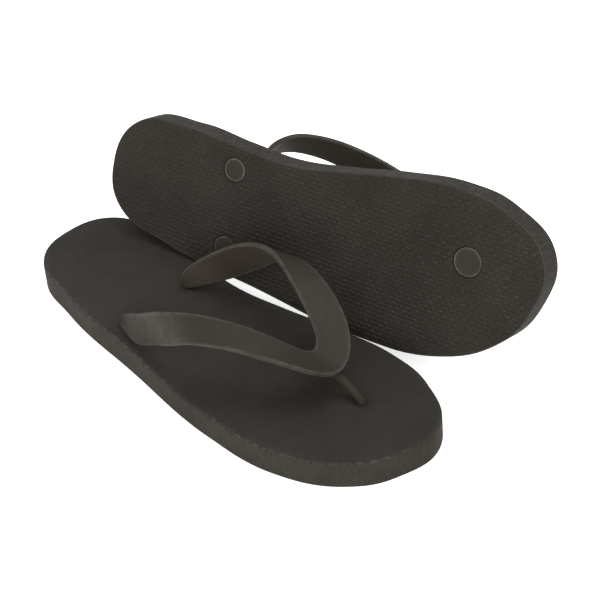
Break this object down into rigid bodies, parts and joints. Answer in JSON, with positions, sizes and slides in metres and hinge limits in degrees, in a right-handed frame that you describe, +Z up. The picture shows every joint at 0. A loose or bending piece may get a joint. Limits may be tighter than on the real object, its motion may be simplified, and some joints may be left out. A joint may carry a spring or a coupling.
{
  "type": "pair of flip flops",
  "caption": "Pair of rubber thong sandals: one lies flat, the other stands on its long edge against it. Slab soles, moulded straps with toe posts, plug anchors; the soles bend at the ball of the foot.",
  "frame": {"origin": "on the floor, under the middle of the lying right sandal's sole", "axes": "+Z up, +X from the lying sandal's heel to its toes, +Y from its outer edge to its inner edge, towards the standing left sandal"},
  "size_m": [0.2909, 0.1819, 0.1026],
  "materials": {
    "sole_foam": "matte",
    "strap_rubber": "satin",
    "anchor_rubber": "satin"
  },
  "bodies": {
    "right_sandal": {"right_sole_rear": "sole_foam", "right_strap": "strap_rubber", "right_anchor_lateral": "anchor_rubber", "right_anchor_medial": "anchor_rubber"},
    "right_forefoot": {"right_sole_toe": "sole_foam", "right_toe_post": "anchor_rubber"},
    "left_sandal": {"left_sole_rear": "sole_foam", "left_strap": "strap_rubber", "left_anchor_lateral": "anchor_rubber", "left_anchor_medial": "anchor_rubber"},
    "left_forefoot": {"left_sole_toe": "sole_foam", "left_toe_post": "anchor_rubber"}
  },
  "joints": [
    {"name": "right_forefoot_flex", "type": "hinge", "parent": "right_sandal", "child": "right_forefoot", "pos_m": [0.0625, 0, 0.0175], "axis": [0, -1, 0], "range_deg": [0, 45], "stiffness_Nm_per_rad": 2.5, "deforming": ["right_strap"]},
    {"name": "left_sandal_lift", "type": "slide", "parent": "right_sandal", "child": "left_sandal", "axis": [-0.114, 0.4011, 0.9089], "range_m": [0, 0.15]},
    {"name": "left_forefoot_flex", "type": "hinge", "parent": "left_sandal", "child": "left_forefoot", "pos_m": [0.06831, 0.09537, 0.05088], "axis": [-0.114, 0.4011, 0.9089], "range_deg": [0, 45], "stiffness_Nm_per_rad": 2.5, "deforming": ["left_strap"]}
  ]
}
